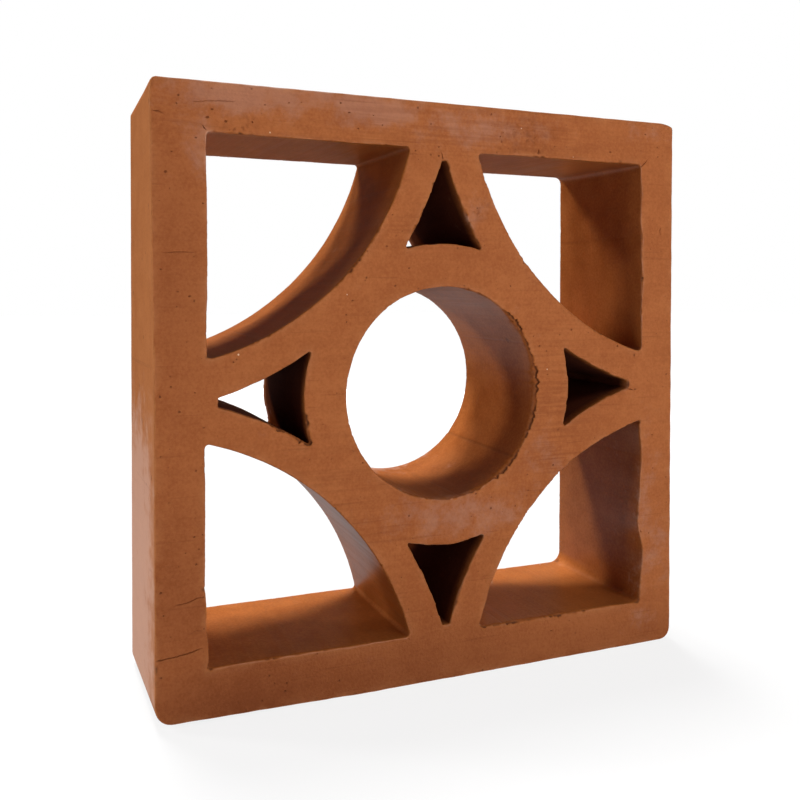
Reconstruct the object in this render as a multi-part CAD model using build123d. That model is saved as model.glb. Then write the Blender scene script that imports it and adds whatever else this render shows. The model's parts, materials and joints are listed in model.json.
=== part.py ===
from build123d import *
import os
from math import hypot

# A pierced block of fired clay for screen walls. It stands on its bed face, as it is laid:
# X runs along the wall, Y through it and Z up. The origin is the middle of the bed face.
# The clay is pressed through a die and sliced with a wire, so one section runs through
# the whole thickness and the edges of the two cut faces are left sharp.

# Outside of the block
face_width = 200.0
face_height = 200.0
thickness = 50.0
top_corner_radius = 3.0
bottom_corner_radius = 5.0

# Outer walls, from the outside to the straight sides of the corner openings
wall_left = 16.5
wall_right = 14.8
wall_top = 15.2
wall_bottom = 16.0

# Ring of clay round the middle hole
hole_diameter = 74.5
ring_wall = 14.5

# Four corner openings, each with two straight sides and an arc that bows to the hole
diagonal_wall = 17.6
star_band = 24.5
inner_corner_radius = 3.0
horn_radius = 2.0

# Four small openings, each between two curved struts and the ring
strut_wall = 11.8
tip_wall = 4.0
small_opening_radius = 1.4

# The field is what the outer walls leave. The pattern is drawn about the field's middle.
field_width = face_width - wall_left - wall_right
field_height = face_height - wall_bottom - wall_top
field_middle_x = (wall_left - wall_right) / 2
field_middle_z = wall_bottom + field_height / 2
hole_radius = hole_diameter / 2
ring_radius = hole_radius + ring_wall

# Signs of X and Z that point from the pattern's middle to its four corners
corners = [(1, 1), (-1, 1), (-1, -1), (1, -1)]


# The arc starts and ends on the outer walls, half a band from the pattern's centre lines,
# and crosses the diagonal where diagonal_wall of clay is left between it and the hole
def corner_arc(side_x, side_z):
    corner_x = side_x * field_width / 2
    corner_z = side_z * field_height / 2
    share = (hole_radius + diagonal_wall) / hypot(corner_x, corner_z)
    on_bed_wall = (side_x * star_band / 2, corner_z)
    on_diagonal = (share * corner_x, share * corner_z)
    on_side_wall = (corner_x, side_z * star_band / 2)
    return ThreePointArc(on_bed_wall, on_diagonal, on_side_wall)


# The opening is the arc closed by the two straight sides, with its three corners rounded
def corner_opening(side_x, side_z):
    corner = (side_x * field_width / 2, side_z * field_height / 2)
    arc = corner_arc(side_x, side_z)
    sides = Polyline(arc @ 1, corner, arc @ 0)
    opening = make_face([arc] + sides.edges())
    square_corner = opening.vertices().sort_by_distance(corner)[0]
    opening = fillet(square_corner, inner_corner_radius)
    horns = opening.vertices().sort_by_distance(corner)[-2:]
    return fillet(horns, horn_radius)


# The small openings are what is left of the field outside the ring and the struts. A strut
# keeps one thickness along its length, because its two sides share the arc's centre.
# Drawing the sides in and letting them out again rounds every corner alike.
def small_openings():
    reach_x = field_width - 2 * tip_wall
    reach_z = field_height - 2 * tip_wall
    between = Rectangle(reach_x, reach_z) - Circle(ring_radius)
    for side_x, side_z in corners:
        arc = corner_arc(side_x, side_z)
        centre = arc.arc_center
        between -= Pos(centre.X, centre.Y) * Circle(arc.radius + strut_wall)
    rounded = Sketch()
    for face in between.faces():
        drawn_in = offset(face, -small_opening_radius, kind=Kind.INTERSECTION)
        rounded += offset(drawn_in, small_opening_radius, kind=Kind.ARC)
    return rounded


# The outline has its own radius for the two upper corners and the two lower ones
def outline():
    face = Rectangle(face_width, face_height, align=(Align.CENTER, Align.MIN))
    upper_corners = face.vertices().group_by(Axis.Y)[-1]
    face = fillet(upper_corners, top_corner_radius)
    lower_corners = face.vertices().group_by(Axis.Y)[0]
    return fillet(lower_corners, bottom_corner_radius)


# The whole section, as the die gives it
def section():
    pattern = Circle(hole_radius) + small_openings()
    for side_x, side_z in corners:
        pattern += corner_opening(side_x, side_z)
    return outline() - Pos(field_middle_x, field_middle_z) * pattern


# The section is pushed both ways from the middle of the wall to the two cut faces
upright = Plane.XZ
breeze_block = extrude(upright * section(), amount=thickness / 2, both=True)
breeze_block.label = "breeze_block"

os.makedirs("parts", exist_ok=True)
export_step(breeze_block, "parts/breeze_block.step")

box = breeze_block.bounding_box()
print("breeze_block size", box.size)
print("breeze_block volume in cubic cm", round(breeze_block.volume / 1000, 1))
print("corner arc radius", round(corner_arc(1, 1).radius, 2))
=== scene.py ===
# %% [markdown]
# # A terracotta breeze block
#
# This lesson dresses a pierced clay block, the kind that is stacked into screen walls. Its
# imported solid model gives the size, the middle hole and the place. Here the same section is
# drawn again with what pressing, wire cutting, drying and firing did to it: torn rims, soft
# outer edges, pits, cracks, drag lines and chalky bloom. The clay is one piece, so the result
# is one dense mesh with two finishes: the dull face that the wire cut, and the tighter skin
# that the die left on every wall.

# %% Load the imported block
import json
import math
import random

import bpy
import numpy as np
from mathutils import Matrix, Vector, kdtree, noise
from mathutils.geometry import delaunay_2d_cdt


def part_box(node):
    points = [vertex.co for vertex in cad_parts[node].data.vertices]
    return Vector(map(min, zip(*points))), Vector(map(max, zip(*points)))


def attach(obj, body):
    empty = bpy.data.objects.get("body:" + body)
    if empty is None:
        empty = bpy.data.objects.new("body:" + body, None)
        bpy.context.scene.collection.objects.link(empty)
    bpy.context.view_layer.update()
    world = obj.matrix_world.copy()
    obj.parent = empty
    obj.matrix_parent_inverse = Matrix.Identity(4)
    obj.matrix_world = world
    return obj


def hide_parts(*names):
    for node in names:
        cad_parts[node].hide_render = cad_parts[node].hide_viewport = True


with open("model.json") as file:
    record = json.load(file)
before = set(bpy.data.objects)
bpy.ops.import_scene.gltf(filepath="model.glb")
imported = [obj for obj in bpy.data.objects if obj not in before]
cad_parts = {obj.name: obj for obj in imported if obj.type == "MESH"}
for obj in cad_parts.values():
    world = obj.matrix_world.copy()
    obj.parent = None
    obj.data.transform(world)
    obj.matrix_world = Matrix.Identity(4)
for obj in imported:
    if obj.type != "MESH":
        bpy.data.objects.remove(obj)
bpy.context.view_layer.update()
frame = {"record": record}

scene = bpy.context.scene
mm = 0.001
block_low, block_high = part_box("breeze_block")
face_width = (block_high.x - block_low.x) / mm
face_height = (block_high.z - block_low.z) / mm
thickness = (block_high.y - block_low.y) / mm
print("block", round(face_width, 1), "x", round(thickness, 1), "x", round(face_height, 1), "mm")

# %% [markdown]
# ## The camera
#
# The block stands with its near cut face turned a little to the right, so that its left side
# and the right-hand walls of its openings show. The camera stands close, left of the middle,
# at two thirds of the block's height. The lens is shifted a little, because the picture was
# cropped round the block and not round the lens's own axis.

# %% Camera
camera_place = (-0.1336, -0.2681, 0.1326)
camera_lean = 89.14
camera_turn = -19.79
camera_data = bpy.data.cameras.new("camera")
camera_data.sensor_width = 36.0
camera_data.lens = 35.67
camera_data.shift_x = 0.103
camera_data.shift_y = -0.112
camera_data.clip_start = 0.01
camera = bpy.data.objects.new("camera", camera_data)
camera.location = camera_place
camera.rotation_euler = (math.radians(camera_lean), 0.0, math.radians(camera_turn))
scene.collection.objects.link(camera)
scene.camera = camera
print("camera stands", round(Vector(camera_place).length, 3), "m from the middle of the bed")

# %% [markdown]
# ## The die's pattern
#
# Clay is pushed through a die whose cores leave nine openings: a round hole in a ring, four
# corner openings with a bowed side, and four small openings between the curved struts. The
# sizes are those of the solid model, in millimetres, and the hole's come from the packed
# record. Only the horns and the small openings' corners are tighter here, because the wire
# left them nearly sharp on the cut faces.

# %% Pattern sizes
wall_left = 16.5
wall_right = 14.8
wall_top = 15.2
wall_bottom = 16.0
ring_wall = 14.5
diagonal_wall = 17.6
star_band = 24.5
horn_radius = 1.2
strut_wall = 11.8
small_opening_radius = 0.45

hole_mount = next(m for m in frame["record"]["mounts"] if m["name"] == "middle_hole")
hole_radius = hole_mount["dims"]["r_mm"]
pattern_middle = np.array((hole_mount["pos_m"][0], hole_mount["pos_m"][2])) / mm
ring_radius = hole_radius + ring_wall
half_width = (face_width - wall_left - wall_right) / 2
half_height = (face_height - wall_top - wall_bottom) / 2
print("pattern reaches", round(half_width, 2), "and", round(half_height, 2), "mm from its middle")

# %% [markdown]
# ## Drawing with arcs
#
# Every side of every opening is a line or an arc of a circle, so helpers draw them as closely
# spaced points. A corner between two circles is rounded about the point where two wider
# circles cross. Drawing from the circles keeps the curves true at any spacing.

# %% Arc helpers
fine_step = 0.2


def short_arc(centre, start, end):
    """Points on the shorter arc about centre, from start up to but not including end."""
    radius = np.linalg.norm(start - centre)
    first = math.atan2(start[1] - centre[1], start[0] - centre[0])
    last = math.atan2(end[1] - centre[1], end[0] - centre[0])
    turn = (last - first + math.pi) % (2 * math.pi) - math.pi
    count = max(3, int(abs(turn) * radius / fine_step))
    angles = first + turn * np.arange(count) / count
    return centre + radius * np.column_stack((np.cos(angles), np.sin(angles)))


def straight(start, end):
    """Points on a line, from start up to but not including end."""
    count = max(3, int(np.linalg.norm(end - start) / fine_step))
    share = np.arange(count)[:, None] / count
    return start + share * (end - start)


def crossing(centre_a, reach_a, centre_b, reach_b, near):
    """The point at both reaches from the two centres, on the side of near."""
    apart = centre_b - centre_a
    gap = np.linalg.norm(apart)
    along = (gap**2 + reach_a**2 - reach_b**2) / (2 * gap)
    across = math.sqrt(reach_a**2 - along**2)
    foot = centre_a + apart / gap * along
    sideways = np.array((-apart[1], apart[0])) / gap * across
    return min((foot + sideways, foot - sideways), key=lambda p: np.linalg.norm(p - near))


def circle_through(a, b, c):
    """Centre and radius of the circle through three points."""
    rows = 2 * np.array((b - a, c - a))
    centre = np.linalg.solve(rows, np.array((b @ b - a @ a, c @ c - a @ a)))
    return centre, np.linalg.norm(a - centre)


quarter = short_arc(np.zeros(2), np.array((hole_radius, 0.0)), np.array((0.0, hole_radius)))
print("a quarter of the hole is drawn with", len(quarter), "points")

# %% [markdown]
# ## The corner openings
#
# A corner opening has two straight sides on the outer walls and one that bows towards the
# hole. Its square corner is rounded, and so are the two horns where the bow meets the walls.
# All four are one opening mirrored, so it is drawn for the upper right corner. Five small
# moves let each stray from the die: the bow's start, middle and end, and the two sides. The
# last number is the radius of the square corner.

# %% Corner opening
bow_start = np.array((star_band / 2, half_height))
bow_end = np.array((half_width, star_band / 2))
middle_reach = hole_radius + diagonal_wall
diagonal = np.array((half_width, half_height)) / math.hypot(half_width, half_height)
bow_centre, bow_radius = circle_through(bow_start, middle_reach * diagonal, bow_end)


def corner_opening(start, middle, end, side, top, turn):
    """The upper right corner opening, with five places moved by millimetres."""
    side_x = half_width + side
    top_z = half_height + top
    on_top = np.array((star_band / 2 + start, top_z))
    on_side = np.array((side_x, star_band / 2 + end))
    centre, bow = circle_through(on_top, (middle_reach + middle) * diagonal, on_side)
    reach = bow - horn_radius
    horn_z = top_z - horn_radius
    horn_x = side_x - horn_radius
    top_horn = np.array((centre[0] - math.sqrt(reach**2 - (centre[1] - horn_z) ** 2), horn_z))
    side_horn = np.array((horn_x, centre[1] - math.sqrt(reach**2 - (centre[0] - horn_x) ** 2)))
    square = np.array((side_x - turn, top_z - turn))
    bow_top = centre + (top_horn - centre) * bow / reach
    bow_side = centre + (side_horn - centre) * bow / reach
    side_start = side_horn + (horn_radius, 0.0)
    side_end = square + (turn, 0.0)
    top_start = square + (0.0, turn)
    top_end = top_horn + (0.0, horn_radius)
    return np.concatenate((
        short_arc(centre, bow_top, bow_side),
        short_arc(side_horn, bow_side, side_start),
        straight(side_start, side_end),
        short_arc(square, side_end, top_start),
        straight(top_start, top_end),
        short_arc(top_horn, top_end, bow_top),
    ))


print("bowed sides have a radius of", round(bow_radius, 2), "mm")

# %% [markdown]
# ## The small openings
#
# A small opening is what two struts and the ring leave. A strut keeps one thickness because
# its flanks share a centre, so the opening's flanks are circles about the centres of the two
# neighbouring bows, and its base follows the ring. Each side is a centre, a radius and a
# point near the corner that ends it. The sides can be moved in by a little, and the tip can
# be cut blunt.

# %% Small opening


def small_opening(outward, left_in, right_in, base_in, tip_cut):
    """The opening whose tip points along outward, a unit direction on the face."""
    sideways = np.array((-outward[1], outward[0]))
    forward = outward * (abs(outward) @ bow_centre)
    aside = sideways * (abs(sideways) @ bow_centre)
    base = outward * ring_radius
    flank = bow_radius + strut_wall
    sides = [
        (np.zeros(2), ring_radius + base_in, base - sideways * ring_wall),
        (forward - aside, flank + right_in, outward * half_height),
        (forward + aside, flank + left_in, base + sideways * ring_wall),
    ]
    corners = []
    for (centre, radius, near), following in zip(sides, sides[1:] + sides[:1]):
        reach = radius + small_opening_radius
        corners.append(crossing(centre, reach, following[0], following[1] + small_opening_radius, near))
    touching = []
    for i, (centre, radius, _) in enumerate(sides):
        share = radius / (radius + small_opening_radius)
        touching.append([centre + (corners[k] - centre) * share for k in (i - 1, i)])
    arcs = []
    for i, (start, end) in enumerate(touching):
        arcs.append(short_arc(sides[i][0], start, end))
        arcs.append(short_arc(corners[i], end, touching[i - 2][0]))
    points = np.concatenate(arcs)
    beyond = points @ outward - (corners[1] @ outward + small_opening_radius - tip_cut)
    return points - np.outer(np.clip(beyond, 0.0, None), outward)


upward = np.array((0.0, 1.0))
print("a small opening is drawn with", len(small_opening(upward, 0, 0, 0, 0)), "fine points")

# %% [markdown]
# ## The hole and the outline
#
# The hole is a circle. The outline is a rectangle whose corners were pressed and rubbed
# differently: the lower ones are round, the upper left one is tight and the upper right one
# is worn low and wide. A quarter of an ellipse covers all four. Each corner has the ellipse's
# half width and half height, first for the near face and then for the far one.

# %% Hole and outline
outline_corners = {
    (1, -1): ((4.6, 4.6), (4.6, 4.6)),
    (1, 1): ((7.0, 1.8), (7.0, 1.8)),
    (-1, 1): ((1.9, 1.9), (1.9, 1.9)),
    (-1, -1): ((7.2, 7.6), (4.4, 4.2)),
}
corner_points = 24


def round_hole(grow):
    """The circle of the middle hole, with its radius changed by grow."""
    count = int(2 * math.pi * hole_radius / fine_step)
    angles = 2 * math.pi * np.arange(count) / count
    return (hole_radius + grow) * np.column_stack((np.cos(angles), np.sin(angles)))


def outline(back):
    """The outer edge of the near or far face, counterclockwise from the lower right corner."""
    ends = []
    for (side_x, side_z), sizes in outline_corners.items():
        wide, high = sizes[back]
        first = math.atan2(side_z, side_x) - math.pi / 4
        angles = first + np.linspace(0.0, math.pi / 2, corner_points)
        centre = np.array((side_x * (face_width / 2 - wide), side_z * (face_height / 2 - high)))
        ends.append(centre + np.column_stack((wide * np.cos(angles), high * np.sin(angles))))
    loop = []
    for corner, following in zip(ends, ends[1:] + ends[:1]):
        loop += [corner[:-1], straight(corner[-1], following[0])]
    return np.concatenate(loop) + np.array((0.0, face_height / 2))


print("the outline is", round(face_width), "mm wide with", len(outline(0)), "fine points")

# %% [markdown]
# ## Cores that stood a little out of true
#
# The push of the clay moves the cores of a die, and the wire then dragged the soft clay, so
# the openings are lower and tighter at the near face than at the far one. Each opening gets
# its own moves in millimetres, first for the near rim and then for the far rim, and its walls
# run straight from the one to the other. The last two moves of a small opening or of the hole
# shift it whole. The near edges of the left end and of the bed's left part are rubbed in.

# %% Place the openings
corner_moves = {
    (1, 1): ((0.8, -0.1, -0.2, 0.2, -1.3, 2.2), (0.0, -0.5, 0.3, 0.2, 0.8, 3.0)),
    (-1, 1): ((1.3, -0.4, 0.9, -1.0, -0.7, 1.0), (-0.1, 0.4, 1.4, 0.3, 0.9, 3.0)),
    (-1, -1): ((1.0, 0.3, 0.9, -0.2, -0.85, 1.2), (0.9, -0.9, 1.0, 0.7, -0.6, 3.0)),
    (1, -1): ((1.9, 0.8, 2.3, 0.5, -0.2, 1.6), (-0.8, 0.4, 0.6, 0.4, -0.3, 5.0)),
}
small_moves = {
    (0, 1): ((0.6, 0.4, -0.7, 1.9, -0.4, 0.3), (0.2, 0.2, 0.0, 2.2, -0.5, -0.1)),
    (1, 0): ((0.65, 1.0, -1.0, 3.0, 0.5, -0.5), (0.2, 0.4, -0.2, 2.5, 0.2, -0.2)),
    (-1, 0): ((0.4, -0.2, -0.8, 3.6, -0.6, -0.7), (0.2, 0.1, -0.3, 2.8, 0.2, -0.8)),
    (0, -1): ((0.2, -0.1, -0.4, 3.8, 0.8, -2.2), (0.2, 0.0, 0.0, 3.0, 0.3, -1.6)),
}
hole_moves = ((-0.5, 0.1, -0.5), (-0.4, 0.7, 0.3))
rub_reach = 5.0
left_rub = 1.0
left_rub_top = 185.0
left_rub_fade = 80.0
bed_rub = 1.0
bed_rub_end = -30.0
bed_rub_fade = 55.0
opening_step = 0.56
outline_step = 1.1


def ramp(value, reach):
    """From 0 to 1 as the value goes from 0 to reach, and level beyond."""
    return np.clip(value / reach, 0.0, 1.0)


def even_loop(points, count):
    """The closed loop again, counterclockwise, with a given number of even steps."""
    following = np.roll(points, -1, axis=0)
    area = np.sum(points[:, 0] * following[:, 1] - following[:, 0] * points[:, 1]) / 2
    if area < 0:
        points = points[::-1]
    closed = np.vstack((points, points[:1]))
    lengths = np.linalg.norm(np.diff(closed, axis=0), axis=1)
    travelled = np.concatenate(((0.0,), np.cumsum(lengths)))
    places = travelled[-1] * np.arange(count) / count
    return np.column_stack([np.interp(places, travelled, closed[:, i]) for i in (0, 1)])


def even_pair(near, far, step):
    """The near and far loops of one opening, with the same number of points."""
    length = np.linalg.norm(near - np.roll(near, 1, axis=0), axis=1).sum()
    count = int(round(length / step))
    return even_loop(near, count), even_loop(far, count)


def rubbed_outline():
    """The near outline, with the lower part of its left edge and of its bed drawn in."""
    points = outline(0)
    on_left = ramp(rub_reach - face_width / 2 - points[:, 0], rub_reach)
    below = ramp(left_rub_top - points[:, 1], left_rub_fade)
    on_bed = ramp(rub_reach - points[:, 1], rub_reach)
    beside = ramp(bed_rub_end - points[:, 0], bed_rub_fade)
    return points + np.column_stack((left_rub * on_left * below, bed_rub * on_bed * beside))


loops = {("outline",): even_pair(rubbed_outline(), outline(1), outline_step)}
pair = [round_hole(grow) + pattern_middle + shift for grow, *shift in hole_moves]
loops[("hole",)] = even_pair(*pair, opening_step)
for sides, moves in corner_moves.items():
    pair = [corner_opening(*move) * sides + pattern_middle for move in moves]
    loops["corner", sides] = even_pair(*pair, opening_step)
for side, moves in small_moves.items():
    outward = np.array(side, float)
    pair = [small_opening(outward, *move[:4]) + pattern_middle + move[4:] for move in moves]
    loops["small", side] = even_pair(*pair, opening_step)
print(len(loops), "loops with", sum(len(near) for near, _ in loops.values()), "points")

# %% [markdown]
# ## Random but repeatable unevenness
#
# Clay is uneven at every scale. One helper gives a smooth random value at each point of a
# list, and another a value that jumps from crumb to crumb. Both depend only on the place, a
# size and a seed, so the block comes out the same on every run. The far face looks its values
# up at places of its own.

# %% Unevenness helpers
far_face_shift = 60.0


def uneven(points, wavelength, seed):
    """A smooth random value between about -1 and 1 for each row of (x, y, z)."""
    away = Vector((31.7 * seed, 17.3 * seed, 5.9 * seed))
    return 1.6 * np.array([noise.noise(Vector(p) / wavelength + away) for p in points])


def jagged(points, size, seed):
    """A random value between 0 and 1 that jumps from one crumb of clay to the next."""
    away = Vector((13.1 * seed, 7.7 * seed, 3.3 * seed))
    return np.array([abs(noise.cell(Vector(p) / size + away)) for p in points])


def lifted(points, depth):
    """Face points (x, z) as (x, y, z), at a depth behind the near face."""
    return np.column_stack((points[:, 0], np.full(len(points), depth), points[:, 1]))


print("crumbs at one point:", jagged(lifted(loops[("hole",)][0][:1], 0.0), 1.3, 4).round(2))

# %% [markdown]
# ## Where the wire tore the clay
#
# A wire sliced the clay while it was soft. Where it entered it left a clean edge, and where it
# came out it tore crumbs from the rim. The worst stretches are named by the opening and by
# their direction from its middle, in degrees counterclockwise from the right, with half their
# spread in degrees and the width of the torn strip in millimetres.

# %% Torn stretches
plain_tear = {"outline": 0.06, "hole": 0.34, "corner": 0.38, "small": 0.3}
far_tear_share = 0.4
small_crumb = 0.9
large_crumb = 2.1
notch_size = 1.7
notch_level = 0.8
notch_share = 0.5
patch_length = 9.0
torn_near = {
    ("hole",): [(-8.0, 60.0, 1.45), (20.0, 80.0, 1.0), (-80.0, 50.0, 0.85)],
    ("corner", (-1, -1)): [(-98.0, 28.0, 0.75)],
    ("corner", (1, -1)): [(-108.0, 42.0, 0.8)],
    ("corner", (-1, 1)): [(-38.0, 50.0, 0.5)],
    ("corner", (1, 1)): [(112.0, 30.0, 0.45)],
    ("small", (0, 1)): [(170.0, 62.0, 1.0), (-20.0, 40.0, 0.55)],
    ("small", (-1, 0)): [(0.0, 50.0, 0.55), (-50.0, 34.0, 1.0)],
    ("small", (1, 0)): [(-45.0, 40.0, 0.5), (180.0, 60.0, 0.35)],
    ("small", (0, -1)): [(195.0, 50.0, 0.6), (-40.0, 40.0, 0.5), (90.0, 50.0, 0.4)],
}
torn_far = {
    ("hole",): [(165.0, 60.0, 1.1)],
    ("corner", (-1, -1)): [(180.0, 50.0, 0.7)],
    ("corner", (1, 1)): [(-135.0, 40.0, 0.6)],
    ("corner", (-1, 1)): [(90.0, 35.0, 0.5)],
    ("small", (0, -1)): [(10.0, 50.0, 0.8)],
    ("small", (1, 0)): [(60.0, 60.0, 0.7)],
}


def degrees_from(points, direction):
    """How far each loop point lies from a direction, seen from the loop's middle."""
    away = points - (points.max(axis=0) + points.min(axis=0)) / 2
    return (np.degrees(np.arctan2(away[:, 1], away[:, 0])) - direction + 180.0) % 360.0 - 180.0


def torn_width(name, points, back):
    """How wide a strip is torn off at each rim point, in millimetres."""
    place = lifted(points, far_face_shift * back)
    amount = np.full(len(points), plain_tear[name[0]] * (far_tear_share if back else 1.0))
    for direction, spread, most in (torn_near, torn_far)[back].get(name, ()):
        away = degrees_from(points, direction)
        amount = np.maximum(amount, most * np.exp(-((away / spread) ** 4)))
    crumbs = 0.65 * jagged(place, small_crumb, 4) + 0.35 * jagged(place, large_crumb, 5)
    notches = np.where(jagged(place, notch_size, 27) > notch_level, notch_share, 0.0)
    patches = np.clip(0.75 + 0.6 * uneven(place, patch_length, 3), 0.2, 1.0)
    return amount * patches * (0.25 + 0.75 * crumbs + notches)


widest = max(torn_width(name, near, 0).max() for name, (near, _) in loops.items())
print("the widest torn strip is", round(widest, 2), "mm")

# %% [markdown]
# ## Single bites and a score line
#
# A few rims lost a whole crumb. Each bite has a place on the near face, a radius and a depth.
# The wall of the hole also carries one straight score, which a grain stuck in the die drew
# along the whole depth.

# %% Bites and score
rim_bites = [
    (-83.3, 113.9, 1.4, 0.9),
    (75.1, 183.9, 0.9, 0.35),
    (-83.7, 41.9, 1.0, 0.5),
    (78.9, 100.0, 1.6, 0.6),
    (-100.0, 19.0, 1.7, 0.6),
    (-100.0, 14.5, 1.3, 0.5),
    (-100.0, 23.5, 1.0, 0.4),
    (-100.0, 52.0, 1.2, 0.35),
]
score_direction = -40.6
score_half_width = 0.6
score_depth = 0.2


def bell(away, reach):
    """One at no distance, falling off smoothly over the reach."""
    return np.exp(-((away / reach) ** 2))


def bite_depths(points, back):
    """How deep a bite goes at each rim point of the near face, in millimetres."""
    deep = np.zeros(len(points))
    for x, z, radius, most in () if back else rim_bites:
        away = np.hypot(points[:, 0] - x, points[:, 1] - z) / radius
        deep = np.maximum(deep, most * np.clip(1.0 - away**2, 0.0, 1.0))
    return deep


def score_line(name, points):
    """The depth of the straight score along the hole's wall, in millimetres."""
    in_hole = float(name[0] == "hole")
    return in_hole * score_depth * bell(degrees_from(points, score_direction), score_half_width)


print(len(rim_bites), "bites and one score line")

# %% [markdown]
# ## Rims that wave
#
# Every rim sways a little, by a long wander and a short one, each given by its reach, its
# length and its seed. The upright near rims of three corner openings also wave in and out
# where the core shook. Those waves are knots, each a height on the face and a move into the
# clay, and the rim goes smoothly from one knot to the next.

# %% Waves
long_sway = (0.16, 22.0, 11)
short_sway = (0.06, 6.0, 12)
outline_sway = 0.12
far_sway = 0.3
rim_waves = {
    ("corner", (1, 1)): (
        (128.0, 0.0), (140.0, 0.5), (150.0, 0.0), (156.0, 0.2),
        (163.0, -0.6), (173.0, -0.3), (180.0, -0.8),
    ),
    ("corner", (1, -1)): (
        (20.0, -0.6), (24.0, 0.0), (35.0, 1.0), (47.5, -1.4),
        (60.0, -0.6), (72.0, 0.1), (85.0, -1.1),
    ),
    ("corner", (-1, -1)): (
        (16.0, -1.2), (24.0, -1.0), (29.0, -0.3), (34.0, -0.5), (46.0, 0.0),
    ),
}


def eased(value, knots):
    """The move at each value, going smoothly from one (value, move) knot to the next."""
    places, moves = np.array(knots).T
    step = np.clip(np.searchsorted(places, value) - 1, 0, len(places) - 2)
    share = ramp(value - places[step], places[step + 1] - places[step])
    share = share * share * (3.0 - 2.0 * share)
    return moves[step] + (moves[step + 1] - moves[step]) * share


def wander(place, *waves):
    """The sum of several random waves, each given by its reach, its length and its seed."""
    return sum(reach * uneven(place, length, seed) for reach, length, seed in waves)


def waviness(name, points, place, into_clay, back):
    """Slow wandering of a rim, in millimetres into the clay."""
    sway = wander(place, long_sway, short_sway)
    if name[0] == "outline":
        return outline_sway * np.abs(sway)
    if back:
        return far_sway * sway
    if name not in rim_waves:
        return sway
    on_side = np.clip(name[1][0] * into_clay[:, 0], 0.0, 1.0) ** 2
    return sway + on_side * eased(points[:, 1], rim_waves[name])


print(len(rim_waves), "upright rims wave")

# %% [markdown]
# ## The profile of a rim
#
# A wall is a stack of rows. They lie close together near each cut face, to hold the rounding
# and the torn strip, and far apart in between, where the wall is as the die left it. Every
# row is the same loop, moved into the clay by what tearing, rounding and drying took there.
# Behind a torn rim the wire undercut the clay in a groove, the hole's rim also has a ridge,
# and the walls of the small openings have short ledges. A torn strip reaches deeper where it
# is wider, and deepest on the rim of the hole.

# %% Rim profile
round_angles = (90.0, 42.0, 0.0)
row_depths = (0.62, 1.0, 1.6, 2.6, 4.6, 10.0)
outline_softness = 0.45
opening_softness = 0.3
groove_place = 0.45
groove_reach = 0.35
groove_depth = 0.9
ridge_height = 0.4
ridge_place = 0.55
ridge_reach = 0.28
ridge_tear = 0.45
ledge_depth = 0.35
ledge_size = 4.3
bite_fade = 1.6
sway_fade = 16.0
ledge_fade = 8.0


def profile_rows(radius):
    """Pairs of inset and depth for the rows of half a wall, behind a rim of a given radius."""
    for angle in round_angles:
        turn = math.radians(angle)
        yield radius * (1.0 - math.cos(turn)), radius * (1.0 - math.sin(turn))
    for depth in row_depths:
        yield np.zeros(len(radius)), np.maximum(depth, radius + 0.05 * depth)


def fading(depth, reach):
    """From 1 at the cut face to 0 at a reach behind it."""
    return np.clip(1.0 - depth / reach, 0.0, 1.0)


def wall_rows(name, points, opposite, into_clay, back):
    """Rows of (x, depth, z) from one cut face towards the middle of the wall, and the wear."""
    place = lifted(points, far_face_shift * back)
    softness = outline_softness if name[0] == "outline" else opening_softness
    radius = softness * np.clip(0.85 + 0.5 * uneven(place, 6.0, 9), 0.4, 1.4)
    tear = torn_width(name, points, back)
    in_hole = float(name[0] == "hole")
    deeper = 0.2 + 0.4 * tear + 0.5 * jagged(place, large_crumb, 6)
    tear_reach = 0.35 + 0.7 * tear + in_hole * deeper
    rough = 0.5 + uneven(place, 3.0, 8)
    ridge = ridge_height * in_hole * np.clip(tear - ridge_tear, 0.0, 1.0) * rough
    bite = bite_depths(points, back)
    sway = waviness(name, points, place, into_clay, back)
    ledges = ledge_depth * float(name[0] == "small") * jagged(place, ledge_size, 16) ** 2
    broken = np.clip(0.75 + 0.8 * uneven(place, 5.0, 33), 0.0, 1.0)
    groove = groove_depth * np.clip(1.5 * tear - 0.4, 0.0, 1.0) * broken
    score = score_line(name, points)
    made = []
    for inset, depth in profile_rows(radius):
        crumbled = 0.75 + 0.5 * jagged(place + (0.0, depth.mean(), 0.0), small_crumb, 14)
        torn = tear * crumbled * fading(depth, tear_reach) ** 0.8
        ridged = ridge * bell(depth - ridge_place * tear_reach, ridge_reach)
        moved = inset + torn - ridged + bite * fading(depth, bite_fade)
        moved = moved + sway * fading(depth, sway_fade) + ledges * fading(depth, ledge_fade)
        moved = moved + groove * bell(depth - groove_place, groove_reach) + score
        slanted = points + (opposite - points) * (depth / thickness)[:, None]
        shifted = slanted + into_clay * moved[:, None]
        made.append(np.column_stack((shifted[:, 0], depth, shifted[:, 1])))
    return made, (tear, bite, groove)


print("each half of a wall has", len(round_angles) + len(row_depths), "rows")

# %% [markdown]
# ## The walls
#
# Each loop becomes a closed strip of quads from the near cut face to the far one. Beside its
# place, every vertex stores marks for the finishes: how near it is to a rim, how torn the clay
# is there, whether it lies in a pit or on lime, and whether it belongs to the inside of an
# opening. The mark of the narrow openings is painted shade that deepens into them, and the pit
# mark also carries painted shade in crevices, bites and grooves. The quads are turned so that
# they all face out of the clay.

# %% Walls
rim_reach = 1.3
torn_reach = 1.1
crevice_shade_reach = 0.9
narrow_shade_reach = 4.5
bite_shade_strength = 1.6
groove_shade_strength = 2.6
score_dark = 1.8
vertices = []
marks = {name: [] for name in ("rim", "torn", "pit", "lime", "inside", "painted_narrow_shade")}
quads = []
rims = ({}, {})


def into_the_clay(name, points):
    """The unit direction from each rim point into the clay."""
    ahead = np.roll(points, -1, axis=0) - np.roll(points, 1, axis=0)
    ahead /= np.linalg.norm(ahead, axis=1)[:, None]
    outwards = np.column_stack((ahead[:, 1], -ahead[:, 0]))
    return -outwards if name[0] == "outline" else outwards


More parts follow.
